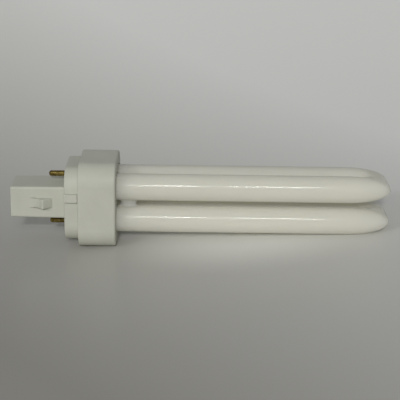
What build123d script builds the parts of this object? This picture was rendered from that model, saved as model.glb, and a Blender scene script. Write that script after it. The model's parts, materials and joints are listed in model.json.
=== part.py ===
from build123d import *
from math import acos, atan2, degrees, hypot, sin, sqrt, tan
import os

# A plug-in compact fluorescent lamp with four limbs of tube and a two-pin cap, in millimetres.
# Every piece is made standing up: Z runs along the lamp from the post to the tips of the tube, with
# zero at the collar's end face, X runs from pin to pin, and -Y is the front. The finished lamp is laid
# on its side as it comes to rest, on the holder's edge and two limbs, with the tips towards +X.

# Whole lamp
OVERALL_LENGTH = 153.0
POST_LENGTH = 22.3
COLLAR_LENGTH = 5.5
HOLDER_LENGTH = 15.0

# Discharge tube
TUBE_DIAMETER = 10.8
LIMB_GAP = 2.4
OGIVE_LENGTH = 18.0
SEAL_ROUND = 2.4
PINCH_WIDTH = 9.0
PINCH_THICKNESS = 2.2
PINCH_EDGE = 0.9
PINCH_SHOULDER = 3.0
PINCH_LENGTH = 2.0
BRIDGE_HEIGHT = 5.1
BRIDGE_DIAMETER = 6.6
BRIDGE_FLARE = 8.6

# Tube holder
HOLDER_STEP = 2.3
HOLDER_CORNER = 8.0
HOLDER_EDGE = 0.8
SKIRT_WALL = 1.5
DECK = 1.8
LIP_HEIGHT = 1.5
WELL_WALL = 1.1
RIB = 1.2
WELL_CHAMFER = 0.4

# Cap
COLLAR_MARGIN = 2.9
COLLAR_CORNER = 7.4
COLLAR_EDGE = 0.5
COLLAR_WALL = 1.5
COLLAR_FLOOR = 1.6
SPIGOT = 2.5
HOOK_WIDTH = 6.0
HOOK_DEPTH = 0.7
POST_WIDTH = 13.2
POST_DEPTH = 17.1
POST_CORNER = 0.9
POST_WALL = 1.2
POST_DRAFT = 0.5
POST_EDGE = 0.6
NIB_WIDTH = 4.0
NIB_HEIGHT = 3.0
NIB_ROOT = 5.4
NIB_STEEP = 3.7
NIB_RAMP = 4.4
NIB_ROUND = 0.5
KEY_WIDTH = 3.4
KEY_HEIGHT = 1.4
KEY_OFFSET = 4.1
KEY_EDGE = 0.3

# Contact pins
PIN_DIAMETER = 2.3
PIN_LENGTH = 7.4
PIN_NOSE = 1.1
PIN_POST_GAP = 2.2
PIN_SHANK = 1.8
PIN_BORE = 1.1
RIVET_DIAMETER = 3.2
RIVET_HEIGHT = 0.6
BOSS_DIAMETER = 4.4
BOSS_HEIGHT = 0.8

# Starter, capacitor and wires
STARTER_DIAMETER = 6.4
STARTER_LENGTH = 11.0
STARTER_ROUND = 2.9
STARTER_PINCH = 2.0
STARTER_LEAD_GAP = 2.4
CAPACITOR_SIZE = (8.6, 3.6, 7.5)
CAPACITOR_EDGE = 0.9
CAPACITOR_BEVEL = 0.4
CAPACITOR_LEAD_GAP = 5.0
WIRE_DIAMETER = 0.6
WIRE_RUN = 1.8
LEAD_RISE = 2.7
JUNCTION_GAP = 6.0
JUNCTION_HEIGHT = 0.5
JUNCTION_PASS = 0.45

# Clearances
CAP_CLEARANCE = 0.1
CEMENT_GAP = 0.4
CEMENT_CLEARANCE = 0.04
CEMENT_RECESS = 0.8
SHANK_CLEARANCE = 0.05
RESTING_CLEARANCE = 0.3
JUNCTION_CLEARANCE = 0.12

# Places along the lamp
HOLDER_FACE = COLLAR_LENGTH + HOLDER_LENGTH
TUBE_TIP = OVERALL_LENGTH - POST_LENGTH
OGIVE_START = TUBE_TIP - OGIVE_LENGTH
LIP_TOP = COLLAR_LENGTH + LIP_HEIGHT
CAP_RIM = COLLAR_LENGTH + SPIGOT
WELL_FOOT = CAP_RIM + CAP_CLEARANCE
LIMB_FOOT = WELL_FOOT + PINCH_SHOULDER
PINCH_FOOT = LIMB_FOOT - PINCH_SHOULDER - PINCH_LENGTH
BRIDGE_CENTRE = HOLDER_FACE + BRIDGE_HEIGHT

# Places across the lamp
TUBE_RADIUS = TUBE_DIAMETER / 2
TUBE_PITCH = TUBE_DIAMETER + LIMB_GAP
LIMB_OFFSET = TUBE_PITCH / 2
BRIDGE_REACH = LIMB_OFFSET - TUBE_RADIUS / 2
COLLAR_WIDTH = TUBE_PITCH + TUBE_DIAMETER + 2 * COLLAR_MARGIN
HOLDER_WIDTH = COLLAR_WIDTH + 2 * HOLDER_STEP
SKIRT_INSIDE = HOLDER_WIDTH - 2 * SKIRT_WALL
WELL_RADIUS = TUBE_RADIUS + CEMENT_GAP
PIN_PLACE = POST_WIDTH / 2 + PIN_POST_GAP + PIN_DIAMETER / 2
POST_CAVITY_WIDTH = POST_WIDTH - 2 * POST_WALL
POST_CAVITY_DEPTH = POST_DEPTH - 2 * POST_WALL
POST_FLOOR = POST_WALL - POST_LENGTH
WIRE_RADIUS = WIRE_DIAMETER / 2


def limb_grid():
    """The four limbs stand on a square grid."""
    return GridLocations(TUBE_PITCH, TUBE_PITCH, 2, 2)


# Discharge tube. Each pair of limbs, front and back, is one bent tube. The limb ends are drawn out to
# an ogive, and the bend between them is a web of the same ogive section with a round throat below it.

# Above the throat's centre the bend is as high as half the pair's width
BEND_REACH = LIMB_OFFSET + TUBE_RADIUS
BEND_RISE = OGIVE_LENGTH - BEND_REACH
THROAT_RADIUS = TUBE_RADIUS * sqrt(1 - (BEND_RISE / OGIVE_LENGTH) ** 2)

# Half a ball, drawn out along the limb
with BuildPart() as limb_end:
    Sphere(TUBE_RADIUS, arc_size1=0)
    scale(by=(1, 1, OGIVE_LENGTH / TUBE_RADIUS))

with BuildPart() as bend_web:
    with BuildSketch(Plane.XZ):
        Ellipse(TUBE_RADIUS, OGIVE_LENGTH)
        with Locations((0, BEND_RISE)):
            Rectangle(TUBE_DIAMETER, OGIVE_LENGTH, align=(Align.CENTER, Align.MIN), mode=Mode.INTERSECT)
    extrude(amount=LIMB_OFFSET, both=True)
    with BuildSketch(Plane.XY.offset(BEND_RISE)):
        Rectangle(2 * THROAT_RADIUS, LIMB_OFFSET, align=(Align.CENTER, Align.MIN))
        with Locations((0, LIMB_OFFSET)):
            Circle(THROAT_RADIUS, mode=Mode.SUBTRACT)
    revolve(axis=Axis((0, 0, BEND_RISE), (1, 0, 0)), mode=Mode.SUBTRACT)

# The front limbs are closed by a rounded seal at the foot
with BuildPart() as round_seal:
    Sphere(TUBE_RADIUS, arc_size2=0)
    scale(by=(1, 1, SEAL_ROUND / TUBE_RADIUS))

# The back limbs hold the electrodes and are pinched flat round their wires
with BuildPart() as pinch_seal:
    with BuildSketch():
        Circle(TUBE_RADIUS)
    with BuildSketch(Plane.XY.offset(-PINCH_SHOULDER)) as blade:
        RectangleRounded(PINCH_WIDTH, PINCH_THICKNESS, PINCH_EDGE)
    loft()
    extrude(blade.sketch, amount=-PINCH_LENGTH)

with BuildPart() as discharge_tube:
    with BuildSketch(Plane.XY.offset(LIMB_FOOT)):
        with limb_grid():
            Circle(TUBE_RADIUS)
    extrude(amount=OGIVE_START - LIMB_FOOT)
    with Locations((0, 0, OGIVE_START)):
        with limb_grid():
            add(limb_end.part)
    with Locations((-LIMB_OFFSET, 0, OGIVE_START), (LIMB_OFFSET, 0, OGIVE_START)):
        add(bend_web.part)
    with Locations((-LIMB_OFFSET, -LIMB_OFFSET, LIMB_FOOT), (LIMB_OFFSET, -LIMB_OFFSET, LIMB_FOOT)):
        add(round_seal.part)
    with Locations((-LIMB_OFFSET, LIMB_OFFSET, LIMB_FOOT), (LIMB_OFFSET, LIMB_OFFSET, LIMB_FOOT)):
        add(pinch_seal.part)
    # The two front limbs are fused by a short bridge just above the holder, narrowest in the middle
    with BuildSketch(Plane((0, -LIMB_OFFSET, BRIDGE_CENTRE), x_dir=(1, 0, 0), z_dir=(0, -1, 0))):
        with BuildLine():
            Polyline(
                (-BRIDGE_REACH, BRIDGE_FLARE / 2),
                (-BRIDGE_REACH, 0),
                (BRIDGE_REACH, 0),
                (BRIDGE_REACH, BRIDGE_FLARE / 2),
            )
            ThreePointArc(
                (BRIDGE_REACH, BRIDGE_FLARE / 2),
                (0, BRIDGE_DIAMETER / 2),
                (-BRIDGE_REACH, BRIDGE_FLARE / 2),
            )
        make_face()
    revolve(axis=Axis((0, -LIMB_OFFSET, BRIDGE_CENTRE), (1, 0, 0)))
discharge_tube.part.label = "discharge_tube"


# Tube holder. A moulded shell, open towards the cap, with a well for each limb below its deck and ribs
# from the wells to the skirt. An inward lip at the skirt's rim lets the collar in and holds its hooks.
with BuildPart() as tube_holder:
    with BuildSketch(Plane.XY.offset(COLLAR_LENGTH)):
        RectangleRounded(HOLDER_WIDTH, HOLDER_WIDTH, HOLDER_CORNER)
    extrude(amount=HOLDER_LENGTH)
    fillet(tube_holder.faces().sort_by(Axis.Z)[-1].edges(), HOLDER_EDGE)
    fillet(tube_holder.faces().sort_by(Axis.Z)[0].edges(), COLLAR_EDGE)
    with BuildSketch(Plane.XY.offset(LIP_TOP)):
        RectangleRounded(SKIRT_INSIDE, SKIRT_INSIDE, HOLDER_CORNER - SKIRT_WALL)
    extrude(amount=HOLDER_FACE - DECK - LIP_TOP, mode=Mode.SUBTRACT)
    with BuildSketch(Plane.XY.offset(COLLAR_LENGTH)):
        opening = COLLAR_WIDTH + 2 * CAP_CLEARANCE
        RectangleRounded(opening, opening, COLLAR_CORNER + CAP_CLEARANCE)
    extrude(amount=LIP_HEIGHT, mode=Mode.SUBTRACT)
    with BuildSketch(Plane.XY.offset(WELL_FOOT)):
        with limb_grid():
            Circle(WELL_RADIUS + WELL_WALL)
        with GridLocations(TUBE_PITCH, 0, 2, 1):
            Rectangle(RIB, SKIRT_INSIDE)
        with GridLocations(0, TUBE_PITCH, 1, 2):
            Rectangle(SKIRT_INSIDE, RIB)
        RectangleRounded(SKIRT_INSIDE, SKIRT_INSIDE, HOLDER_CORNER - SKIRT_WALL, mode=Mode.INTERSECT)
    extrude(amount=HOLDER_FACE - DECK - WELL_FOOT)
    with BuildSketch(Plane.XY.offset(WELL_FOOT)):
        with limb_grid():
            Circle(WELL_RADIUS)
    extrude(amount=HOLDER_FACE - WELL_FOOT, mode=Mode.SUBTRACT)
    mouths = tube_holder.faces().sort_by(Axis.Z)[-1].edges().filter_by(GeomType.CIRCLE)
    chamfer(mouths.filter_by(lambda edge: abs(edge.radius - WELL_RADIUS) < WELL_CHAMFER), WELL_CHAMFER)
tube_holder.part.label = "tube_holder"


# Cement. A sleeve of it fixes each limb in its well, a little below the deck's face.
CEMENT_LENGTH = HOLDER_FACE - CEMENT_RECESS - LIMB_FOOT


def cement_sleeve(x, y):
    """The cement round the limb that stands at x, y."""
    with BuildPart() as cement:
        with BuildSketch(Plane.XY.offset(LIMB_FOOT)):
            with Locations((x, y)):
                Circle(WELL_RADIUS - CEMENT_CLEARANCE)
                Circle(TUBE_RADIUS + CEMENT_CLEARANCE, mode=Mode.SUBTRACT)
        extrude(amount=CEMENT_LENGTH)
    return cement.part


# Cap. One moulding: a square collar that plugs into the holder, a hollow post that goes into the
# lampholder, a wedge-shaped nib on the post's front and back, and a key rib on the collar's front and
# back. The ribs and nibs repeat when the cap is turned half round.
NIB_PEAK = -(NIB_ROOT + NIB_STEEP)
NIB_FOOT = NIB_PEAK - NIB_RAMP
NIB_TOP = POST_DEPTH / 2 + NIB_HEIGHT
COLLAR_HALF = COLLAR_WIDTH / 2

with BuildPart() as snap_nib:
    with BuildSketch(Plane.YZ):
        with BuildLine():
            ramp = TangentArc(
                (-POST_DEPTH / 2 + POST_WALL / 2, NIB_FOOT - NIB_RAMP / 2),
                (-NIB_TOP, NIB_PEAK),
                tangent=(0, 1),
            )
            Polyline(ramp @ 1, (-POST_DEPTH / 2, -NIB_ROOT), (-POST_DEPTH / 2 + POST_WALL / 2, -NIB_ROOT), ramp @ 0)
        make_face()
    extrude(amount=NIB_WIDTH / 2, both=True)
    fillet(snap_nib.edges().filter_by(Axis.X).sort_by(Axis.Y)[0], NIB_ROUND)

with BuildPart() as key_rib:
    with BuildSketch():
        with Locations((-KEY_OFFSET, -COLLAR_HALF)):
            Rectangle(KEY_WIDTH, 2 * KEY_HEIGHT)
    extrude(amount=COLLAR_LENGTH - CAP_CLEARANCE)
    fillet(key_rib.faces().sort_by(Axis.Y)[0].edges(), KEY_EDGE)

with BuildPart() as snap_hook:
    with BuildSketch(Plane.YZ):
        Polygon(
            (-COLLAR_HALF + COLLAR_WALL / 2, LIP_TOP + CAP_CLEARANCE),
            (-COLLAR_HALF - HOOK_DEPTH, LIP_TOP + CAP_CLEARANCE),
            (-COLLAR_HALF, CAP_RIM),
            (-COLLAR_HALF + COLLAR_WALL / 2, CAP_RIM),
            align=None,
        )
    extrude(amount=HOOK_WIDTH / 2, both=True)

with BuildPart() as base_cap:
    with BuildSketch():
        RectangleRounded(COLLAR_WIDTH, COLLAR_WIDTH, COLLAR_CORNER)
    extrude(amount=CAP_RIM)
    fillet(base_cap.faces().sort_by(Axis.Z)[0].edges(), COLLAR_EDGE)
    with BuildSketch(Plane((0, 0, 0), x_dir=(1, 0, 0), z_dir=(0, 0, -1))):
        RectangleRounded(POST_WIDTH, POST_DEPTH, POST_CORNER)
    extrude(amount=POST_LENGTH, taper=POST_DRAFT)
    fillet(base_cap.faces().sort_by(Axis.Z)[0].edges(), POST_EDGE)
    for half_turn in (0, 180):
        with Locations(Rot(0, 0, half_turn)):
            add(snap_nib.part)
            add(key_rib.part)
    for quarter_turn in (0, 90, 180, 270):
        with Locations(Rot(0, 0, quarter_turn)):
            add(snap_hook.part)
    # Inside of the collar, with a boss round each pin's hole
    with BuildSketch(Plane.XY.offset(COLLAR_FLOOR)):
        inside = COLLAR_WIDTH - 2 * COLLAR_WALL
        RectangleRounded(inside, inside, COLLAR_CORNER - COLLAR_WALL)
    extrude(amount=CAP_RIM - COLLAR_FLOOR, mode=Mode.SUBTRACT)
    with BuildSketch(Plane.XY.offset(COLLAR_FLOOR)):
        with Locations((-PIN_PLACE, 0), (PIN_PLACE, 0)):
            Circle(BOSS_DIAMETER / 2)
    extrude(amount=BOSS_HEIGHT)
    # Inside of the post, open into the collar
    with BuildSketch(Plane((0, 0, COLLAR_FLOOR + BOSS_HEIGHT), x_dir=(1, 0, 0), z_dir=(0, 0, -1))):
        RectangleRounded(POST_CAVITY_WIDTH, POST_CAVITY_DEPTH, POST_CORNER)
    extrude(amount=COLLAR_FLOOR + BOSS_HEIGHT - POST_FLOOR, taper=POST_DRAFT, mode=Mode.SUBTRACT)
    with BuildSketch():
        with Locations((-PIN_PLACE, 0), (PIN_PLACE, 0)):
            Circle(PIN_SHANK / 2 + SHANK_CLEARANCE)
    extrude(amount=COLLAR_FLOOR + BOSS_HEIGHT, mode=Mode.SUBTRACT)
base_cap.part.label = "base_cap"


# Contact pins. Drawn from brass as a thimble: the shoulder stands on the collar's end face, and the
# shank is riveted over the boss inside. The lead-in wire runs down the bore.
RIVET_SEAT = COLLAR_FLOOR + BOSS_HEIGHT + SHANK_CLEARANCE


def contact_pin(x):
    """One pin, revolved about its own axis at x."""
    with BuildPart() as pin:
        with BuildSketch(Plane((x, 0, 0), x_dir=(1, 0, 0), z_dir=(0, -1, 0))):
            with BuildLine():
                nose = EllipticalCenterArc(
                    (0, PIN_NOSE - PIN_LENGTH), PIN_DIAMETER / 2, PIN_NOSE, start_angle=270, arc_size=90
                )
                Polyline(
                    nose @ 1,
                    (PIN_DIAMETER / 2, 0),
                    (PIN_SHANK / 2, 0),
                    (PIN_SHANK / 2, RIVET_SEAT),
                    (RIVET_DIAMETER / 2, RIVET_SEAT),
                    (PIN_SHANK / 2, RIVET_SEAT + RIVET_HEIGHT),
                    (PIN_BORE / 2, RIVET_SEAT + RIVET_HEIGHT),
                    (PIN_BORE / 2, PIN_NOSE - PIN_LENGTH),
                    (0, PIN_NOSE - PIN_LENGTH),
                    nose @ 0,
                )
            make_face()
        revolve(axis=Axis((x, 0, 0), (0, 0, 1)))
    return pin.part


# Starter. A small sealed glass bulb that stands on the post's floor, behind the capacitor, with a
# pinched end where its two leads come out.
STARTER_FOOT = POST_FLOOR + RESTING_CLEARANCE
STARTER_TOP = STARTER_FOOT + STARTER_LENGTH
STARTER_Y = POST_CAVITY_DEPTH / 4
STARTER_PINCH_SIZE = (STARTER_LEAD_GAP + 2 * WIRE_DIAMETER, 2 * WIRE_DIAMETER)

with BuildPart() as starter_bulb:
    with BuildSketch(Plane((0, STARTER_Y, STARTER_FOOT), x_dir=(1, 0, 0), z_dir=(0, -1, 0))):
        with Locations((0, STARTER_LENGTH / 2)):
            RectangleRounded(STARTER_DIAMETER, STARTER_LENGTH, STARTER_ROUND)
        Rectangle(STARTER_DIAMETER, STARTER_LENGTH, align=(Align.MIN, Align.MIN), mode=Mode.INTERSECT)
    revolve(axis=Axis((0, STARTER_Y, 0), (0, 0, 1)))
    with BuildSketch(Plane.XY.offset(STARTER_TOP)):
        with Locations((0, STARTER_Y)):
            Rectangle(*STARTER_PINCH_SIZE)
    extrude(amount=STARTER_PINCH, both=True)
starter_bulb.part.label = "starter_bulb"


# Capacitor. A dipped block that stands on the post's floor at the front.
CAPACITOR_Y = -POST_CAVITY_DEPTH / 4
CAPACITOR_TOP = STARTER_FOOT + CAPACITOR_SIZE[2]

with BuildPart() as capacitor:
    with BuildSketch(Plane.XY.offset(STARTER_FOOT)):
        with Locations((0, CAPACITOR_Y)):
            RectangleRounded(CAPACITOR_SIZE[0], CAPACITOR_SIZE[1], CAPACITOR_EDGE)
    extrude(amount=CAPACITOR_SIZE[2])
    chamfer(capacitor.faces().filter_by(Axis.Z).edges(), CAPACITOR_BEVEL)
capacitor.part.label = "capacitor"


# Wires. All are stiff single strands, creased sharply with pliers at each corner. Left is -1 and right
# is +1 in each function.
def wire(points):
    """A round wire along straight runs."""
    with BuildPart() as strand:
        with BuildLine() as route:
            run = Polyline(*points)
        with BuildSketch(Plane(run @ 0, z_dir=run % 0)):
            Circle(WIRE_RADIUS)
        sweep(path=route.line, transition=Transition.RIGHT)
    return strand.part


WIRE_SPREAD = PINCH_WIDTH / 4
JUNCTION_Y = STARTER_Y


def pin_wire(side):
    """From the electrode's outer wire, over the collar's floor and down the pin's bore."""
    start_x = side * (LIMB_OFFSET + WIRE_SPREAD)
    level = PINCH_FOOT - WIRE_RUN
    bore_foot = 2 * PIN_NOSE - PIN_LENGTH
    return wire([
        (start_x, LIMB_OFFSET, PINCH_FOOT),
        (start_x, LIMB_OFFSET, level),
        (side * PIN_PLACE, 0, level),
        (side * PIN_PLACE, 0, bore_foot),
    ])


def starter_wire(side):
    """From the electrode's inner wire down to the joint with the starter's lead."""
    start_x = side * (LIMB_OFFSET - WIRE_SPREAD)
    joint_x = side * JUNCTION_GAP / 2
    return wire([
        (start_x, LIMB_OFFSET, PINCH_FOOT),
        (start_x, LIMB_OFFSET, PINCH_FOOT - WIRE_RUN),
        (joint_x, JUNCTION_Y, JUNCTION_HEIGHT + WIRE_RUN),
        (joint_x, JUNCTION_Y, JUNCTION_HEIGHT),
    ])


def starter_lead(side):
    """From the starter's pinch out and up to the joint."""
    start_x = side * STARTER_LEAD_GAP / 2
    joint_x = side * JUNCTION_GAP / 2
    pinch_top = STARTER_TOP + STARTER_PINCH
    return wire([
        (start_x, STARTER_Y, pinch_top),
        (start_x, STARTER_Y, pinch_top + WIRE_RUN),
        (joint_x, JUNCTION_Y, JUNCTION_HEIGHT - LEAD_RISE),
        (joint_x, JUNCTION_Y, JUNCTION_HEIGHT),
    ])


def capacitor_lead(side):
    """From the capacitor up, back over it, and up beside the joint."""
    start_x = side * CAPACITOR_LEAD_GAP / 2
    joint_x = side * JUNCTION_GAP / 2
    beside = JUNCTION_Y - WIRE_DIAMETER - JUNCTION_CLEARANCE
    crossing = JUNCTION_HEIGHT - WIRE_RUN
    return wire([
        (start_x, CAPACITOR_Y, CAPACITOR_TOP),
        (start_x, CAPACITOR_Y, crossing),
        (joint_x, beside, crossing),
        (joint_x, beside, JUNCTION_HEIGHT + JUNCTION_PASS),
    ])


repeated = {
    "cement": [cement_sleeve(x, y) for y in (-LIMB_OFFSET, LIMB_OFFSET) for x in (-LIMB_OFFSET, LIMB_OFFSET)],
    "contact_pin": [contact_pin(x) for x in (-PIN_PLACE, PIN_PLACE)],
    "pin_wire": [pin_wire(side) for side in (-1, 1)],
    "starter_wire": [starter_wire(side) for side in (-1, 1)],
    "starter_lead": [starter_lead(side) for side in (-1, 1)],
    "capacitor_lead": [capacitor_lead(side) for side in (-1, 1)],
}
pieces = [discharge_tube.part, tube_holder.part, base_cap.part, starter_bulb.part, capacitor.part]
for name, group in repeated.items():
    for number, piece in enumerate(group, start=1):
        piece.label = f"{name}_{number}"
        pieces.append(piece)

# Rest. Lying down, the lamp touches the floor where the holder's flat ends at the tube side, and where
# the line from there touches the ogive of the lower limbs. In the ellipse's own units, a point beyond
# it at (along, out) has its tangent point at the angle touch from the ellipse's widest place.
along = (HOLDER_FACE - HOLDER_EDGE - OGIVE_START) / OGIVE_LENGTH
out = (HOLDER_WIDTH / 2 - LIMB_OFFSET) / TUBE_RADIUS
touch = atan2(along, out) + acos(1 / hypot(along, out))
REST_TILT = degrees(atan2(TUBE_RADIUS * tan(touch), OGIVE_LENGTH))

# Z of the standing lamp goes to +X and X to -Z, with the tips lowered by the tilt. The lamp's box
# stands on the floor, centred on the origin.
turned = Rot(0, 90 + REST_TILT, 0)
box = Compound([piece.moved(turned) for piece in pieces]).bounding_box()
lying = Pos(-box.center().X, -box.center().Y, -box.min.Z) * turned

os.makedirs("parts", exist_ok=True)
for piece in pieces:
    piece.move(lying)
    export_step(piece, f"parts/{piece.label}.step")

print("tilt", round(REST_TILT, 3), "touches at", round(OGIVE_START + OGIVE_LENGTH * sin(touch), 2))
for title, x in (("seat", 0), ("left pin", -PIN_PLACE), ("right pin", PIN_PLACE)):
    place = (lying * Pos(x, 0, 0)).position
    print(title, [round(value, 4) for value in place])
print("box", box.size)
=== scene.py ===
import json
import math
import bmesh
import bpy
import numpy as np
from mathutils import Matrix, Vector


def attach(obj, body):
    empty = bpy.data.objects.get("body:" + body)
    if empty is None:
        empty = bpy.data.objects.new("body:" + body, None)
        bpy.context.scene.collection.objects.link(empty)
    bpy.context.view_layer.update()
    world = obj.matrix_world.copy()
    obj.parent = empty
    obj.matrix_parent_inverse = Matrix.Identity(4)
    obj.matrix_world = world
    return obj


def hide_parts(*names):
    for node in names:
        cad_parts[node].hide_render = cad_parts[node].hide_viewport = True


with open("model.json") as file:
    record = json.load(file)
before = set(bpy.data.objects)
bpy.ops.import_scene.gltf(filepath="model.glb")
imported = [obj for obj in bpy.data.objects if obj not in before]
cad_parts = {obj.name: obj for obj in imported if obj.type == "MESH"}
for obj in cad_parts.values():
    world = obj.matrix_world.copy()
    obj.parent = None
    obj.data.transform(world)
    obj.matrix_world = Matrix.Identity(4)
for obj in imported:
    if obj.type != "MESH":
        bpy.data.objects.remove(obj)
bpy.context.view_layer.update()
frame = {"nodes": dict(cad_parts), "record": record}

# The lamp lies on its side. The record's plug mount is the middle of the collar's end face, with its
# axis out along the post, so it gives the standing lamp's own axes: x from pin to pin, y to the back,
# z from the post to the tips of the tube. Every size below is in millimetres of the standing lamp.
MM = 0.001
plug = next(mount for mount in frame["record"]["mounts"] if mount["name"] == "plug")
SEAT = np.array(plug["pos_m"])
ALONG = -np.array(plug["axis"])
BACK = np.array([0.0, 1.0, 0.0])
LAMP_AXES = np.array([np.cross(BACK, ALONG), BACK, ALONG])


def laid_down(points):
    """Points of the standing lamp in the frame's metres: the seat plus x, y and z times the lamp's axes."""
    return SEAT + MM * np.asarray(points, float) @ LAMP_AXES


def standing_box(node):
    """Lowest and highest corner of a CAD node in the standing lamp's millimetres."""
    mesh = frame["nodes"][node].data
    flat = np.empty(len(mesh.vertices) * 3, np.float32)
    mesh.vertices.foreach_get("co", flat)
    points = (flat.reshape(-1, 3) - SEAT) @ LAMP_AXES.T / MM
    return points.min(0), points.max(0)


# Camera. The photograph is taken from the front and a little above, with a long lens that is tipped
# slightly clockwise, so that the lamp lies almost level across the picture.
VIEW_POINT = (-0.21, -0.19, 14.69)
VIEW_DISTANCE = 540.0
VIEW_TURN = -1.0
VIEW_FALL = 17.66
VIEW_TIP = -2.5
LENS = 119.0

turn, fall, tip = (math.radians(angle) for angle in (VIEW_TURN, VIEW_FALL, VIEW_TIP))
sight = Vector((math.sin(turn) * math.cos(fall), math.cos(turn) * math.cos(fall), -math.sin(fall)))
level = sight.cross(Vector((0, 0, 1))).normalized()
right = math.cos(tip) * level + math.sin(tip) * level.cross(sight)
camera = bpy.data.objects.new("camera", bpy.data.cameras.new("camera"))
camera.data.lens = LENS
camera.matrix_world = Matrix.Translation(MM * (Vector(VIEW_POINT) - VIEW_DISTANCE * sight)) @ (
    Matrix((right, right.cross(sight), -sight)).transposed().to_4x4()
)
bpy.context.scene.collection.objects.link(camera)
bpy.context.scene.camera = camera
bpy.context.scene.view_settings.view_transform = "Standard"


# Cap. One moulding of pale satin plastic: a hollow post that goes into the lampholder, a square collar
# that plugs into the tube holder, a wedge-shaped nib on the post's front and back, and a key rib on
# the collar's front and back. Its wall is one outline carried up the outside and down the inside.
CAP_LOW, CAP_HIGH = standing_box("base_cap")
POST_LENGTH = -CAP_LOW[2]
CAP_RIM = CAP_HIGH[2]
POST_HALF_X = 6.6
POST_HALF_Y = 8.55
POST_CORNER = 0.9
POST_DRAFT = math.tan(math.radians(0.5))
POST_EDGE = 0.6
POST_WALL = 1.2
COLLAR_HALF = 14.9
COLLAR_LENGTH = 5.5
COLLAR_CORNER = 7.4
COLLAR_EDGE = 0.5
COLLAR_WALL = 1.5
COLLAR_FLOOR = 1.6
EDGE_STEPS = 6
CORNER_STEPS = 10
FLAT_STEPS = 6
FLAT_CROWD = 0.47 * np.pi
SUPPORT = 0.15
MERGE_METRES = 2e-6


def edge_rows(half_x, half_y, corner, z, radius, up=1):
    """Rows of half_x, half_y, corner and z round an edge, from its face to its side.

    The inset is radius times 1 - sin and the rise radius times 1 - cos, as the angle runs to 90
    degrees. One more row on the face and one on the side keep them shading flat.
    """
    angle = np.linspace(0, np.pi / 2, EDGE_STEPS)
    inset = np.concatenate([[radius + SUPPORT], radius * (1 - np.sin(angle)), [0]])
    rise = np.concatenate([[0], radius * (1 - np.cos(angle)), [radius + SUPPORT]])
    return np.stack([half_x - inset, half_y - inset, corner - inset, z + up * rise], 1)


def square_rings(rows):
    """A grid of round-cornered rectangles, one ring for each row of half_x, half_y, corner and z.

    A quarter of a ring runs along one flat, round the corner as corner times the cosine and sine of an
    angle from 0 to 90 degrees, and along the other flat. Points crowd towards the corner as the root
    of a sine does, so that the flats shade flat. The other quarters mirror the first.
    """
    half_x, half_y, corner, z = (column[:, None] for column in np.asarray(rows, float).T)
    swing = np.linspace(0, np.pi / 2, CORNER_STEPS)
    crowd = np.sqrt(np.sin(np.linspace(0, FLAT_CROWD, FLAT_STEPS)))
    flat_y = np.stack([half_x + 0 * crowd, (half_y - corner) * crowd], -1)
    bend = np.stack([half_x - corner * (1 - np.cos(swing)), half_y - corner * (1 - np.sin(swing))], -1)
    flat_x = np.stack([(half_x - corner) * crowd, half_y + 0 * crowd], -1)
    quarter = np.concatenate([flat_y, bend, flat_x[:, ::-1]], 1)
    back = quarter[:, ::-1]
    quarters = [quarter, back * (-1, 1), -quarter, back * (1, -1)]
    ring = np.concatenate([part[:, :-1] for part in quarters], 1)
    return np.concatenate([ring, np.broadcast_to(z[:, :, None], ring.shape[:2] + (1,))], -1)


def skin(name, grids, sharp_angle=38):
    """One mesh from grids of closed rings, with edges sharp where faces meet at more than sharp_angle.

    Quads join each ring to the next, and points that meet are merged.
    """
    points = []
    faces = []
    start = 0
    for grid in grids:
        rows, columns = grid.shape[:2]
        index = start + np.arange(rows * columns).reshape(rows, columns)
        low, high = index[:-1], index[1:]
        faces.append(np.stack([low, np.roll(low, -1, 1), np.roll(high, -1, 1), high], -1).reshape(-1, 4))
        points.append(grid.reshape(-1, 3))
        start += rows * columns
    mesh = bpy.data.meshes.new(name)
    mesh.from_pydata(laid_down(np.concatenate(points)).tolist(), [], np.concatenate(faces).tolist())
    shell = bmesh.new()
    shell.from_mesh(mesh)
    bmesh.ops.remove_doubles(shell, verts=shell.verts, dist=MERGE_METRES)
    bmesh.ops.recalc_face_normals(shell, faces=shell.faces)
    shell.to_mesh(mesh)
    shell.free()
    mesh.polygons.foreach_set("use_smooth", np.ones(len(mesh.polygons), bool))
    mesh.set_sharp_from_angle(angle=math.radians(sharp_angle))
    piece = bpy.data.objects.new(name, mesh)
    bpy.context.scene.collection.objects.link(piece)
    return piece


def fit(piece, material):
    """Gives a piece its material, and lets it ride on the lamp."""
    piece.data.materials.append(material)
    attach(piece, "root")
    return piece


def node_maker(name):
    """A new material, a function that adds a node to it, and its Principled shader."""
    material = bpy.data.materials.new(name)
    material.use_nodes = True
    tree = material.node_tree

    def add(kind, settings=None, **sockets):
        """Adds a node with its own settings, and a value or another node's output for each socket."""
        node = tree.nodes.new(kind)
        for key, value in (settings or {}).items():
            setattr(node, key, value)
        for key, value in sockets.items():
            socket = node.inputs[key.replace("_", " ")]
            if isinstance(value, bpy.types.NodeSocket):
                tree.links.new(value, socket)
            else:
                socket.default_value = value
        return node

    return material, add, tree.nodes["Principled BSDF"]


def link(material, source, shader, socket):
    """Joins a node's output to a socket of the shader."""
    material.node_tree.links.new(source, shader.inputs[socket])


def two_tones(add, factor, first, second, low=0.0, high=1.0):
    """A colour that goes from the first tone to the second as the factor goes from low to high."""
    ramp = add("ShaderNodeValToRGB", Fac=factor)
    for element, position, colour in zip(ramp.color_ramp.elements, (low, high), (first, second)):
        element.position = position
        element.color = (*colour, 1)
    return ramp.outputs["Color"]


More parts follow.
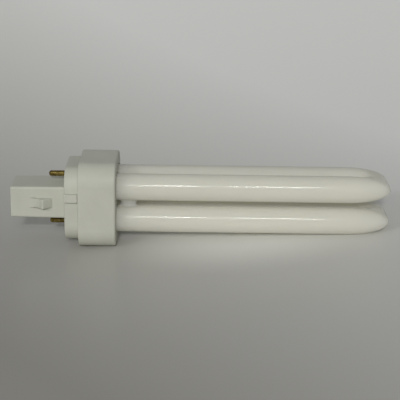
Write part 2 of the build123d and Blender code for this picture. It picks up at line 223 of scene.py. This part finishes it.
def moulded_plastic():
    """Satin plastic: two close warm greys in soft clouds, with a fine moulded grain and a little dust."""
    material, add, shader = node_maker("moulded_plastic")
    place = add("ShaderNodeTexCoord").outputs["Object"]
    clouds = add("ShaderNodeTexNoise", Vector=place, Scale=90.0, Detail=4.0, Roughness=0.6).outputs["Fac"]
    specks = add("ShaderNodeTexNoise", Vector=place, Scale=1100.0, Detail=2.0).outputs["Fac"]
    dust = add("ShaderNodeMapRange", Value=specks, From_Min=0.68, From_Max=0.78, To_Max=0.3)
    colour = add("ShaderNodeMix", {"data_type": "RGBA"})
    mixed = {socket.identifier: socket for socket in colour.inputs}
    tree = material.node_tree
    tree.links.new(dust.outputs["Result"], mixed["Factor_Float"])
    greys = two_tones(add, clouds, (0.51, 0.52, 0.44), (0.55, 0.56, 0.475), 0.35, 0.68)
    tree.links.new(greys, mixed["A_Color"])
    mixed["B_Color"].default_value = (0.32, 0.30, 0.24, 1)
    link(material, colour.outputs[2], shader, "Base Color")
    rubbed = add("ShaderNodeMapRange", Value=clouds, From_Min=0.3, From_Max=0.7, To_Min=0.42, To_Max=0.56)
    link(material, rubbed.outputs["Result"], shader, "Roughness")
    grain = add("ShaderNodeTexNoise", Vector=place, Scale=2600.0, Detail=3.0).outputs["Fac"]
    bump = add("ShaderNodeBump", Strength=0.15, Distance=0.00006, Height=grain)
    link(material, bump.outputs["Normal"], shader, "Normal")
    shader.inputs["IOR"].default_value = 1.5
    return material


plastic = moulded_plastic()
post_tip_x = POST_HALF_X - POST_LENGTH * POST_DRAFT
post_tip_y = POST_HALF_Y - POST_LENGTH * POST_DRAFT
cavity_floor = POST_WALL - POST_LENGTH
inside = COLLAR_HALF - COLLAR_WALL
cap_rows = np.concatenate([
    [[0, 0, 0, -POST_LENGTH]],
    edge_rows(post_tip_x, post_tip_y, POST_CORNER, -POST_LENGTH, POST_EDGE),
    [[POST_HALF_X, POST_HALF_Y, POST_CORNER, -SUPPORT], [POST_HALF_X, POST_HALF_Y, POST_CORNER, 0]],
    edge_rows(COLLAR_HALF, COLLAR_HALF, COLLAR_CORNER, 0, COLLAR_EDGE),
    [
        [COLLAR_HALF, COLLAR_HALF, COLLAR_CORNER, CAP_RIM],
        [inside, inside, COLLAR_CORNER - COLLAR_WALL, CAP_RIM],
        [inside, inside, COLLAR_CORNER - COLLAR_WALL, COLLAR_FLOOR],
        [POST_HALF_X - POST_WALL, POST_HALF_Y - POST_WALL, POST_CORNER, COLLAR_FLOOR],
        [post_tip_x - POST_WALL, post_tip_y - POST_WALL, POST_CORNER, cavity_floor],
        [0, 0, 0, cavity_floor],
    ],
])
cap = fit(skin("cap", [square_rings(cap_rows)]), plastic)
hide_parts("base_cap")

NIB_WIDTH = 4.0
NIB_HEIGHT = 3.0
NIB_CATCH = 3.7
NIB_RAMP = 6.6
NIB_ROOT = 5.4
NIB_TOP = POST_HALF_Y + NIB_HEIGHT
NIB_PEAK = NIB_ROOT + NIB_CATCH
NIB_FOOT = NIB_PEAK + NIB_RAMP
NIB_BURIED = 0.6
NIB_ROUND = 0.6
NIB_EDGE = 0.25
NIB_EDGE_STEPS = 5
RAMP_STEPS = 24
CREST_STEPS = 8
CATCH_START = 0.2
CATCH_STEPS = 4


def wedge_grid():
    """The front nib as a grid: its outline in y and z, carried across in x.

    The ramp is an arc that leaves the post's face and ends at the peak: its radius is
    (rise^2 + run^2) / (2 rise). The peak is rounded by a parabola, and the outline shrinks along its
    normals by 1 - sin of an angle at both sides, for a small round edge.
    """
    foot = np.array([-POST_HALF_Y + NIB_BURIED, -NIB_FOOT])
    peak = np.array([-NIB_TOP, -NIB_PEAK])
    rise, run = foot[0] - peak[0], peak[1] - foot[1]
    radius = (rise**2 + run**2) / (2 * rise)
    swing = np.linspace(0, math.asin((run - NIB_ROUND) / radius), RAMP_STEPS)
    ramp = foot + radius * np.stack([np.cos(swing) - 1, np.sin(swing)], 1)
    root = np.array([-POST_HALF_Y, -NIB_ROOT])
    after = peak + (root - peak) * NIB_ROUND / np.linalg.norm(root - peak)
    t = np.linspace(0, 1, CREST_STEPS)[1:, None]
    crest = (1 - t) ** 2 * ramp[-1] + 2 * t * (1 - t) * peak + t**2 * after
    catch = after + (root - after) * np.linspace(CATCH_START, 1, CATCH_STEPS)[:, None]
    close = np.array([[-POST_HALF_Y + NIB_BURIED, -NIB_ROOT]])
    outline = np.concatenate([ramp, crest, catch, close])
    ahead = np.roll(outline, -1, 0) - np.roll(outline, 1, 0)
    normal = np.stack([-ahead[:, 1], ahead[:, 0]], 1) / np.linalg.norm(ahead, axis=1, keepdims=True)
    angle = np.linspace(0, np.pi / 2, NIB_EDGE_STEPS)
    shrink = NIB_EDGE * (1 - np.sin(angle))
    step_in = NIB_EDGE * (1 - np.cos(angle))
    inset = np.concatenate([shrink, shrink[::-1]])
    place = np.concatenate([NIB_WIDTH / 2 - step_in, step_in[::-1] - NIB_WIDTH / 2])
    rings = outline[None] - inset[:, None, None] * normal[None]
    middle = np.broadcast_to(outline.mean(0), (1, len(outline), 2))
    rings = np.concatenate([middle, rings, middle])
    place = np.concatenate([place[:1], place, place[-1:]])
    return np.concatenate([np.broadcast_to(place[:, None, None], rings.shape[:2] + (1,)), rings], -1)


KEY_WIDTH = 3.4
KEY_HEIGHT = 1.4
KEY_OFFSET = 4.1
KEY_EDGE = 0.3
KEY_CORNER = 0.5
KEY_GAP = 0.1

key_length = COLLAR_LENGTH - KEY_GAP
key_rows = np.concatenate([
    [[0, 0, 0, KEY_HEIGHT]],
    edge_rows(KEY_WIDTH / 2, key_length / 2, KEY_CORNER, KEY_HEIGHT, KEY_EDGE, up=-1),
    [[KEY_WIDTH / 2, key_length / 2, KEY_CORNER, -KEY_HEIGHT / 2], [0, 0, 0, -KEY_HEIGHT / 2]],
])
across, along, out = np.moveaxis(square_rings(key_rows), -1, 0)
key_grid = np.stack([across - KEY_OFFSET, -COLLAR_HALF - out, along + key_length / 2], -1)
HALF_TURN = np.array([-1.0, -1.0, 1.0])
for place, side in (("front", np.ones(3)), ("back", HALF_TURN)):
    fit(skin(f"snap_nib_{place}", [wedge_grid() * side]), plastic)
    fit(skin(f"key_rib_{place}", [key_grid * side]), plastic)


# Contact pins. Two thimbles drawn from thin brass, open at the inner end, whose shoulders stand on the
# collar's end face and whose shanks are riveted over inside. Handling has dulled them and left specks.
PIN_LOW, PIN_HIGH = standing_box("contact_pin_2")
PIN_RADIUS = 1.15
PIN_NOSE = 1.1
PIN_SHANK = 0.9
PIN_BORE = 0.55
RIVET_RADIUS = 1.6
RIVET_HEIGHT = 0.6
RIVET_SEAT = PIN_HIGH[2] - RIVET_HEIGHT
PIN_PLACE = PIN_HIGH[0] - RIVET_RADIUS
TURN_STEPS = 48
NOSE_STEPS = 12


def turned_rings(radii, heights, x):
    """A grid of circles about an upright axis at x: radius times the cosine and sine of a full turn."""
    angle = np.linspace(0, 2 * np.pi, TURN_STEPS, endpoint=False)
    radii = np.asarray(radii, float)[:, None]
    heights = np.broadcast_to(np.asarray(heights, float)[:, None], (len(radii), TURN_STEPS))
    return np.stack([x + radii * np.cos(angle), radii * np.sin(angle), heights], -1)


def drawn_brass():
    """Brass: fine lines round the pin from drawing, with a dull brown film and dark specks."""
    material, add, shader = node_maker("drawn_brass")
    place = add("ShaderNodeTexCoord").outputs["Object"]
    film = add("ShaderNodeTexNoise", Vector=place, Scale=700.0, Detail=5.0, Roughness=0.65).outputs["Fac"]
    browns = two_tones(add, film, (0.12, 0.085, 0.02), (0.36, 0.27, 0.085), 0.36, 0.6)
    link(material, browns, shader, "Base Color")
    shader.inputs["Metallic"].default_value = 1.0
    dull = add("ShaderNodeMapRange", Value=film, From_Min=0.35, From_Max=0.65, To_Min=0.48, To_Max=0.26)
    link(material, dull.outputs["Result"], shader, "Roughness")
    lines = add("ShaderNodeTexWave", {"bands_direction": "X"}, Vector=place, Scale=900.0, Distortion=1.5)
    bump = add("ShaderNodeBump", Strength=0.12, Distance=0.00003, Height=lines.outputs["Fac"])
    link(material, bump.outputs["Normal"], shader, "Normal")
    return material


brass = drawn_brass()
nose = np.linspace(0, np.pi / 2, NOSE_STEPS)
nose_end = PIN_LOW[2] + PIN_NOSE
pin_radii = np.concatenate([
    PIN_RADIUS * np.sin(nose),
    [PIN_RADIUS, PIN_RADIUS, PIN_SHANK, PIN_SHANK, RIVET_RADIUS, PIN_SHANK, PIN_BORE, PIN_BORE, 0],
])
pin_heights = np.concatenate([
    PIN_LOW[2] + PIN_NOSE * (1 - np.cos(nose)),
    [nose_end + SUPPORT, 0, 0, RIVET_SEAT, RIVET_SEAT, PIN_HIGH[2], PIN_HIGH[2], nose_end, nose_end],
])
for number, x in ((1, -PIN_PLACE), (2, PIN_PLACE)):
    pin = fit(skin(f"pin_{number}", [turned_rings(pin_radii, pin_heights, x)]), brass)
    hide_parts(f"contact_pin_{number}")


# Starter, capacitor and wires. They are shut in the post and the collar: a sealed glass bulb, a dipped
# block, and tinned wires from the tube's pinches to the pins and the starter.
def repaint(names, material):
    """Gives each CAD node the material in place of its plain one."""
    for name in names:
        node = frame["nodes"][name]
        for slot in node.material_slots:
            slot.material = material


def starter_glass():
    """Clear glass with a faint smoky bloom."""
    material, add, shader = node_maker("starter_glass")
    place = add("ShaderNodeTexCoord").outputs["Object"]
    bloom = add("ShaderNodeTexNoise", Vector=place, Scale=300.0, Detail=3.0).outputs["Fac"]
    tones = two_tones(add, bloom, (0.70, 0.74, 0.72), (0.92, 0.94, 0.93), 0.3, 0.6)
    link(material, tones, shader, "Base Color")
    shader.inputs["Transmission Weight"].default_value = 0.85
    shader.inputs["IOR"].default_value = 1.5
    shader.inputs["Roughness"].default_value = 0.06
    return material


def dipped_resin():
    """Glossy brown resin, thicker in places, with a slightly wavy skin."""
    material, add, shader = node_maker("dipped_resin")
    place = add("ShaderNodeTexCoord").outputs["Object"]
    runs = add("ShaderNodeTexNoise", Vector=place, Scale=250.0, Detail=2.0).outputs["Fac"]
    browns = two_tones(add, runs, (0.22, 0.07, 0.02), (0.42, 0.15, 0.04), 0.3, 0.7)
    link(material, browns, shader, "Base Color")
    shader.inputs["Roughness"].default_value = 0.18
    bump = add("ShaderNodeBump", Strength=0.3, Distance=0.0002, Height=runs)
    link(material, bump.outputs["Normal"], shader, "Normal")
    return material


def tinned_wire():
    """Dull tin on wire, with a patchy sheen."""
    material, add, shader = node_maker("tinned_wire")
    place = add("ShaderNodeTexCoord").outputs["Object"]
    patches = add("ShaderNodeTexNoise", Vector=place, Scale=1500.0, Detail=3.0).outputs["Fac"]
    greys = two_tones(add, patches, (0.42, 0.41, 0.39), (0.62, 0.61, 0.59), 0.35, 0.65)
    link(material, greys, shader, "Base Color")
    shader.inputs["Metallic"].default_value = 1.0
    dull = add("ShaderNodeMapRange", Value=patches, To_Min=0.5, To_Max=0.3)
    link(material, dull.outputs["Result"], shader, "Roughness")
    return material


repaint(["starter_bulb"], starter_glass())
repaint(["capacitor"], dipped_resin())
strands = [name for name in frame["nodes"] if "_wire_" in name or "_lead_" in name]
repaint(strands, tinned_wire())


# Tube holder. A square moulding of the same plastic, open towards the cap, with a well below its deck
# for each limb of the tube. The skirt's foot turns in to a lip that lets the collar in.
HOLDER_HIGH = standing_box("tube_holder")[1]
HOLDER_HALF = HOLDER_HIGH[0]
HOLDER_FACE = HOLDER_HIGH[2]
HOLDER_CORNER = 8.0
HOLDER_EDGE = 0.8
SKIRT_WALL = 1.5
DECK = 1.8
LIP_HEIGHT = 1.5
CAP_CLEARANCE = 0.1
LIMB_OFFSET = 6.6
WELL_RADIUS = 5.8
WELL_CHAMFER = 0.4
WELL_OUTSIDE = 6.55
WELL_FOOT = 8.1
DECK_STEPS = 26

deck_edge = edge_rows(HOLDER_HALF, HOLDER_HALF, HOLDER_CORNER, HOLDER_FACE, HOLDER_EDGE, up=-1)
skirt_foot = edge_rows(HOLDER_HALF, HOLDER_HALF, HOLDER_CORNER, COLLAR_LENGTH, COLLAR_EDGE)[::-1]
lip = COLLAR_HALF + CAP_CLEARANCE
lip_corner = COLLAR_CORNER + CAP_CLEARANCE
skirt_inside = HOLDER_HALF - SKIRT_WALL
skirt_corner = HOLDER_CORNER - SKIRT_WALL
under_deck = HOLDER_FACE - DECK
skirt = square_rings(np.concatenate([
    deck_edge,
    skirt_foot,
    [
        [lip, lip, lip_corner, COLLAR_LENGTH],
        [lip, lip, lip_corner, COLLAR_LENGTH + LIP_HEIGHT],
        [skirt_inside, skirt_inside, skirt_corner, COLLAR_LENGTH + LIP_HEIGHT],
        [skirt_inside, skirt_inside, skirt_corner, under_deck],
    ],
]))


def deck_quarter(top, bottom):
    """A quarter of the deck with its well, from the top's outline through the well to the underside's.

    The outline is a quarter of the skirt's ring, closed along the two centre lines. Each of its points
    runs straight to the well's circle at the same angle, then down the well, under its foot, up
    outside and out again to the underside's outline.
    """
    quarter = len(top) // 4 + 1
    way = np.linspace(1, 0, DECK_STEPS)[1:, None]

    def closed(ring):
        """A quarter of a ring, with straight rows of points in along both centre lines."""
        outer = ring[:quarter]
        down_y = outer[-1] * [0, 1, 0] * way + [0, 0, ring[0, 2]]
        out_x = outer[0] * [1, 0, 0] * way[:-1][::-1] + [0, 0, ring[0, 2]]
        return np.concatenate([outer, down_y, out_x])

    rim, base = closed(top), closed(bottom)
    angle = np.arctan2(rim[:, 1] - LIMB_OFFSET, rim[:, 0] - LIMB_OFFSET)
    sizes = np.array([
        [WELL_RADIUS + WELL_CHAMFER, HOLDER_FACE],
        [WELL_RADIUS, HOLDER_FACE - WELL_CHAMFER],
        [WELL_RADIUS, WELL_FOOT],
        [WELL_OUTSIDE, WELL_FOOT],
        [WELL_OUTSIDE, under_deck],
    ])
    circles = np.stack([
        LIMB_OFFSET + sizes[:, :1] * np.cos(angle),
        LIMB_OFFSET + sizes[:, :1] * np.sin(angle),
        np.broadcast_to(sizes[:, 1:], (len(sizes), len(angle))),
    ], -1)
    return np.concatenate([rim[None], circles, base[None]])


quarter_grid = deck_quarter(skirt[0], skirt[-1])
corners = [np.array([x, y, 1.0]) for x in (1, -1) for y in (1, -1)]
holder = skin("holder", [skirt] + [quarter_grid * corner for corner in corners])
fit(holder, plastic)
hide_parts("tube_holder")


# Cement. White putty of stone powder and resin, which is pressed into the wells round each limb and
# baked hard. It fixes the tube in the holder, and ends a little below the deck.
def baked_cement():
    """Matt putty: sandy grain in two tones, with pits."""
    material, add, shader = node_maker("baked_cement")
    place = add("ShaderNodeTexCoord").outputs["Object"]
    grain = add("ShaderNodeTexNoise", Vector=place, Scale=1800.0, Detail=5.0, Roughness=0.7).outputs["Fac"]
    tones = two_tones(add, grain, (0.42, 0.40, 0.34), (0.66, 0.64, 0.57), 0.35, 0.65)
    link(material, tones, shader, "Base Color")
    shader.inputs["Roughness"].default_value = 0.9
    bump = add("ShaderNodeBump", Strength=0.6, Distance=0.0002, Height=grain)
    link(material, bump.outputs["Normal"], shader, "Normal")
    return material


repaint([name for name in frame["nodes"] if name.startswith("cement_")], baked_cement())


# Discharge tube. Clear glass tube, coated white inside, heated and bent into two U shapes, left and
# right. The ends of the limbs are drawn to an ogive with a flat crown between front and back. The front
# limbs are closed by a round seal, and the back ones are pinched flat round their wires.
TUBE_LOW, TUBE_HIGH = standing_box("discharge_tube")
TUBE_RADIUS = TUBE_HIGH[0] - LIMB_OFFSET
OGIVE_LENGTH = 18.0
OGIVE_POWER = 2.25
TUBE_TIP = TUBE_HIGH[2]
OGIVE_START = TUBE_TIP - OGIVE_LENGTH
BEND_RISE = OGIVE_LENGTH - LIMB_OFFSET - TUBE_RADIUS
THROAT_RADIUS = TUBE_RADIUS * math.sqrt(1 - (BEND_RISE / OGIVE_LENGTH) ** OGIVE_POWER)
THROAT_BLEND = 3.0
LEAST_BLEND = 1e-6
SEAL_ROUND = 2.4
PINCH_SHOULDER = 3.0
PINCH_HALF_X = 4.5
PINCH_HALF_Y = 1.1
PINCH_LENGTH = 5.0
PINCH_FOOT = TUBE_LOW[2]
LIMB_FOOT = PINCH_FOOT + PINCH_LENGTH
BRIDGE_CENTRE = HOLDER_FACE + 4.8
BRIDGE_WAIST = 3.0
BRIDGE_FLARE = 5.0
BRIDGE_DEPTH = 0.36
BRIDGE_OVERLAP = 0.02
TUBE_STEPS = 72
BEND_STEPS = 64
STRAIGHT_STEPS = 8
TAPER_STEPS = 10
SEAL_STEPS = 10
PINCH_STEPS = 8
BRIDGE_STEPS = 14
HALVINGS = 30


def bend_field(reach, across, angle):
    """How far outside the bent end a point is, in about millimetres: nought on the glass.

    A point is given by its reach from the bend's centre, its place across the pair, and its angle
    round the bend. The ogive is the root of (d^2 + across^2) / radius^2 + (height / length)^power, less
    1, where d is how far the point lies beyond the limbs' centre lines. The throat is a ring of round
    tube. The glass is inside both, and where they cross, the larger value is rounded up by
    (blend - difference)^2 / (4 blend), which smooths the crease.
    """
    beyond = np.maximum(np.abs(reach * np.cos(angle)) - LIMB_OFFSET, 0)
    height = np.maximum(BEND_RISE + reach * np.sin(angle), 0)
    ogive = np.sqrt((beyond**2 + across**2) / TUBE_RADIUS**2 + (height / OGIVE_LENGTH) ** OGIVE_POWER) - 1
    ogive = ogive * TUBE_RADIUS
    throat = np.hypot(np.minimum(reach - LIMB_OFFSET, 0), across) - THROAT_RADIUS
    blend = THROAT_BLEND * np.sin(angle) ** 2 + LEAST_BLEND
    overlap = np.maximum(blend - np.abs(ogive - throat), 0)
    return np.maximum(ogive, throat) + overlap**2 / (4 * blend)


def bent_pair(x):
    """One U of tube at x, as a grid of rings from the front limb's seal over the bend to the back pinch.

    Each ring point stands at a distance s from the tube's centre line, s cos a away from the other
    limb and s sin a across. On the limbs s is radius sqrt(1 - (h / length)^power) above the ogive's
    start. Round the bend s is found on the field by halving, from nought to the ogive's length.
    """
    round_angle = np.linspace(0, 2 * np.pi, TUBE_STEPS, endpoint=False)
    outward, sideways = np.cos(round_angle), np.sin(round_angle)
    straight = np.linspace(LIMB_FOOT, OGIVE_START, STRAIGHT_STEPS)
    rise = BEND_RISE * np.sin(np.linspace(0, np.pi / 2, TAPER_STEPS))[1:-1]
    limb_z = np.concatenate([straight, OGIVE_START + rise])
    taper = np.sqrt(1 - (rise / OGIVE_LENGTH) ** OGIVE_POWER)
    limb_s = TUBE_RADIUS * np.concatenate([1 + 0 * straight, taper])

    def limb(side, z, half_out, half_across):
        """Rings about a limb's centre line: half_out times the cosine and half_across times the sine."""
        columns = (np.asarray(value, float)[:, None] for value in (z, half_out, half_across))
        z, half_out, half_across = columns
        y = side * (LIMB_OFFSET + half_out * outward)
        return np.stack([x + half_across * sideways, y, np.broadcast_to(z, y.shape)], -1)

    bow = np.linspace(0, np.pi / 2, SEAL_STEPS)[::-1]
    seal_s = TUBE_RADIUS * np.cos(bow)
    seal = limb(-1, LIMB_FOOT - SEAL_ROUND * np.sin(bow), seal_s, seal_s)
    press = np.linspace(0, 1, PINCH_STEPS)[1:]
    ease = press**2 * (3 - 2 * press)
    pinch = limb(
        1,
        np.concatenate([LIMB_FOOT - PINCH_SHOULDER * press, [PINCH_FOOT, PINCH_FOOT]]),
        np.concatenate([TUBE_RADIUS + (PINCH_HALF_Y - TUBE_RADIUS) * ease, [PINCH_HALF_Y, 0]]),
        np.concatenate([TUBE_RADIUS + (PINCH_HALF_X - TUBE_RADIUS) * ease, [PINCH_HALF_X, 0]]),
    )
    angle = np.linspace(0, np.pi, BEND_STEPS)[:, None]
    near = np.zeros((BEND_STEPS, TUBE_STEPS))
    far = near + OGIVE_LENGTH
    for _ in range(HALVINGS):
        middle = (near + far) / 2
        inside_glass = bend_field(LIMB_OFFSET + middle * outward, middle * sideways, angle) < 0
        near = np.where(inside_glass, middle, near)
        far = np.where(inside_glass, far, middle)
    reach = LIMB_OFFSET + near * outward
    bend = np.stack([
        x + near * sideways,
        -reach * np.cos(angle),
        OGIVE_START + BEND_RISE + reach * np.sin(angle),
    ], -1)
    front = limb(-1, limb_z, limb_s, limb_s)
    back = limb(1, limb_z, limb_s, limb_s)[::-1]
    return np.concatenate([seal[:-1], front, bend, back, pinch])


def coated_glass():
    """White powder under clear glass: a faintly mottled white ground below a smooth clear coat.

    Round the bridge, where the glass was worked hot, the coat has small ripples that sparkle. A share
    of the shader is translucent, as the powder lets some light into the hollow tube and out of it.
    """
    material, add, shader = node_maker("coated_glass")
    place = add("ShaderNodeTexCoord").outputs["Object"]
    mottle = add("ShaderNodeTexNoise", Vector=place, Scale=60.0, Detail=5.0, Roughness=0.6).outputs["Fac"]
    white = two_tones(add, mottle, (0.85, 0.84, 0.745), (0.88, 0.87, 0.775), 0.3, 0.7)
    link(material, white, shader, "Base Color")
    shader.inputs["Roughness"].default_value = 0.6
    shader.inputs["IOR"].default_value = 1.45
    shader.inputs["Subsurface Weight"].default_value = 1.0
    shader.inputs["Subsurface Radius"].default_value = (1.0, 1.0, 0.9)
    shader.inputs["Subsurface Scale"].default_value = 0.006
    shader.inputs["Coat Weight"].default_value = 1.0
    shader.inputs["Coat Roughness"].default_value = 0.07
    shader.inputs["Coat IOR"].default_value = 1.5
    powder = add("ShaderNodeTexNoise", Vector=place, Scale=1500.0, Detail=3.0).outputs["Fac"]
    bump = add("ShaderNodeBump", Strength=0.1, Distance=0.00005, Height=powder)
    link(material, bump.outputs["Normal"], shader, "Normal")
    worked = add("ShaderNodeVectorMath", {"operation": "DISTANCE"}, Vector=place)
    worked.inputs[1].default_value = laid_down([0.0, -LIMB_OFFSET, BRIDGE_CENTRE]).tolist()
    near = add(
        "ShaderNodeMapRange",
        Value=worked.outputs["Value"],
        From_Min=0.003,
        From_Max=0.008,
        To_Min=1.0,
        To_Max=0.0,
    )
    ripples = add("ShaderNodeTexNoise", Vector=place, Scale=480.0, Detail=1.0).outputs["Fac"]
    waves = add("ShaderNodeBump", Strength=near.outputs["Result"], Distance=0.0003, Height=ripples)
    link(material, waves.outputs["Normal"], shader, "Coat Normal")
    through = add("ShaderNodeBsdfTranslucent", Color=(0.92, 0.91, 0.86, 1))
    shell = add("ShaderNodeMixShader", Fac=0.38)
    tree = material.node_tree
    tree.links.new(shader.outputs["BSDF"], shell.inputs[1])
    tree.links.new(through.outputs["BSDF"], shell.inputs[2])
    tree.links.new(shell.outputs["Shader"], tree.nodes["Material Output"].inputs["Surface"])
    return material


white_glass = coated_glass()
tube = skin("tube", [bent_pair(-LIMB_OFFSET), bent_pair(LIMB_OFFSET)], sharp_angle=60)
fit(tube, white_glass)
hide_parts("discharge_tube")


def bridge_grid():
    """The glass bridge between the front limbs, just above the holder, as rings about its axis in x.

    From the waist to a limb, a ring's radius grows by 1 - cos of an angle that runs to 90 degrees, and
    its place in x is the sine of the angle times the gap to the limb's round side, so the glass flares
    into the limb without a crease. The rings are flattened from front to back. The last ones close
    inside the limb.
    """
    angle = np.linspace(0, np.pi / 2, BRIDGE_STEPS)[:, None]
    around = np.linspace(0, 2 * np.pi, TUBE_STEPS, endpoint=False)
    radius = BRIDGE_WAIST + (BRIDGE_FLARE - BRIDGE_WAIST) * (1 - np.cos(angle))
    y = BRIDGE_DEPTH * radius * np.cos(around)
    z = radius * np.sin(around)
    gap = LIMB_OFFSET - np.sqrt(TUBE_RADIUS**2 - y**2)
    x = np.sin(angle) * (gap + BRIDGE_OVERLAP)
    side = np.stack([x, y - LIMB_OFFSET, z + BRIDGE_CENTRE], -1)
    pole = np.broadcast_to([LIMB_OFFSET, -LIMB_OFFSET, BRIDGE_CENTRE], (1, TUBE_STEPS, 3))
    side = np.concatenate([side, pole])
    return np.concatenate([(side * (-1, 1, 1))[:0:-1], side])


fit(skin("tube_bridge", [bridge_grid()], sharp_angle=60), white_glass)


# Floor and light. A sheet of pale satin paper lies on the table and rises a little behind the lamp.
# Its colour is painted lighter towards the back and the right, as painted light, and has a painted
# pool of light under the tube, for light that the white tube throws down. A window in front, high up,
# lights the lamp; its panes show as thin bright lines on the glass. Weaker lamps to the left, in front
# and behind fill in the rest.
FLOOR_HALF = 4.0
RISE_START = 0.06
RISE_RADIUS = 0.9
CREST_RADIUS = 0.3
RISE_ANGLE = math.radians(20)
SHEET_STEPS = 24

swing = np.linspace(0, RISE_ANGLE, SHEET_STEPS)
rise_y = RISE_START + RISE_RADIUS * np.sin(swing)
rise_z = RISE_RADIUS * (1 - np.cos(swing))
swing_back = swing[::-1][1:]
crest_y = rise_y[-1] + CREST_RADIUS * (math.sin(RISE_ANGLE) - np.sin(swing_back))
crest_z = rise_z[-1] + CREST_RADIUS * (np.cos(swing_back) - math.cos(RISE_ANGLE))
sheet_y = np.concatenate([[-FLOOR_HALF], rise_y, crest_y, [FLOOR_HALF]])
sheet_z = np.concatenate([[0.0], rise_z, crest_z, crest_z[-1:]])
sheet_rows = len(sheet_y)
sides = [np.stack([0 * sheet_y + x, sheet_y, sheet_z], 1) for x in (-FLOOR_HALF, FLOOR_HALF)]
rung = np.arange(sheet_rows - 1)
strips = np.stack([rung, rung + sheet_rows, rung + sheet_rows + 1, rung + 1], 1)
floor_mesh = bpy.data.meshes.new("floor")
floor_mesh.from_pydata(np.concatenate(sides).tolist(), [], strips.tolist())
floor_mesh.polygons.foreach_set("use_smooth", np.ones(sheet_rows - 1, bool))
floor = bpy.data.objects.new("floor", floor_mesh)
bpy.context.scene.collection.objects.link(floor)


def satin_paper_and_painted_light():
    """Satin off-white with painted light: painted darker towards the front and the left, and painted paler
    in a pool under the tube.
    """
    material, add, shader = node_maker("satin_paper_and_painted_light")
    place = add("ShaderNodeTexCoord").outputs["Object"]
    # Painted light: the paper's colour runs from dark at the front left to light at the back right.
    painted_falloff_slant = add("ShaderNodeVectorMath", {"operation": "DOT_PRODUCT"}, Vector=place)
    painted_falloff_slant.inputs[1].default_value = (1.2, 1.0, 0.0)
    tone = add("ShaderNodeMapRange", Value=painted_falloff_slant.outputs["Value"], From_Min=-0.19, From_Max=0.25)
    # Painted pool of light: round a spot under the tube the paper is painted paler, for light that the
    # white tube throws down.
    glow_place = add("ShaderNodeMapping", Vector=place, Location=(-0.0096, 0.003, 0.0), Scale=(0.8, 1.0, 1.0))
    away = add("ShaderNodeVectorMath", {"operation": "LENGTH"}, Vector=glow_place.outputs["Vector"])
    painted_glow = add(
        "ShaderNodeMapRange",
        {"interpolation_type": "SMOOTHSTEP"},
        Value=away.outputs["Value"],
        From_Min=0.008,
        From_Max=0.048,
        To_Min=0.42,
        To_Max=0.0,
    )
    tones = add("ShaderNodeMath", {"operation": "ADD"})
    material.node_tree.links.new(tone.outputs["Result"], tones.inputs[0])
    material.node_tree.links.new(painted_glow.outputs["Result"], tones.inputs[1])
    greys = two_tones(add, tones.outputs["Value"], (0.35, 0.342, 0.305), (0.94, 0.94, 0.90))
    link(material, greys, shader, "Base Color")
    shader.inputs["Roughness"].default_value = 0.32
    return material


floor_mesh.materials.append(satin_paper_and_painted_light())


LAMP_AIM = Vector((0.0, 0.0, 0.015))


def soft_lamp(name, place, size, power):
    """A flat lamp at a place in metres, with its width and height in metres and power in watts."""
    light = bpy.data.lights.new(name, "AREA")
    light.shape = "RECTANGLE"
    light.size, light.size_y = size
    light.energy = power
    lamp = bpy.data.objects.new(name, light)
    lamp.location = place
    lamp.rotation_euler = (LAMP_AIM - Vector(place)).to_track_quat("-Z", "Y").to_euler()
    bpy.context.scene.collection.objects.link(lamp)
    return lamp


soft_lamp("pane_left", (0.0, -2.60, 1.50), (0.18, 0.30), 4.0)
soft_lamp("pane_right", (0.281, -2.60, 1.50), (0.236, 0.30), 4.9)
soft_lamp("window", (-0.05, -2.70, 1.22), (0.25, 0.12), 31.0).visible_glossy = False
soft_lamp("lamp_left", (-1.48, -1.89, 1.25), (0.3, 0.3), 11.0)
soft_lamp("room_front", (-0.8, -3.2, 0.55), (4.5, 0.9), 4.0)
soft_lamp("room_back", (0.5, 2.6, 1.4), (2.5, 1.2), 4.0).visible_glossy = False

world = bpy.data.worlds.new("room")
world.use_nodes = True
world.node_tree.nodes["Background"].inputs["Color"].default_value = (0.97, 0.98, 1.0, 1)
world.node_tree.nodes["Background"].inputs["Strength"].default_value = 0.23
bpy.context.scene.world = world
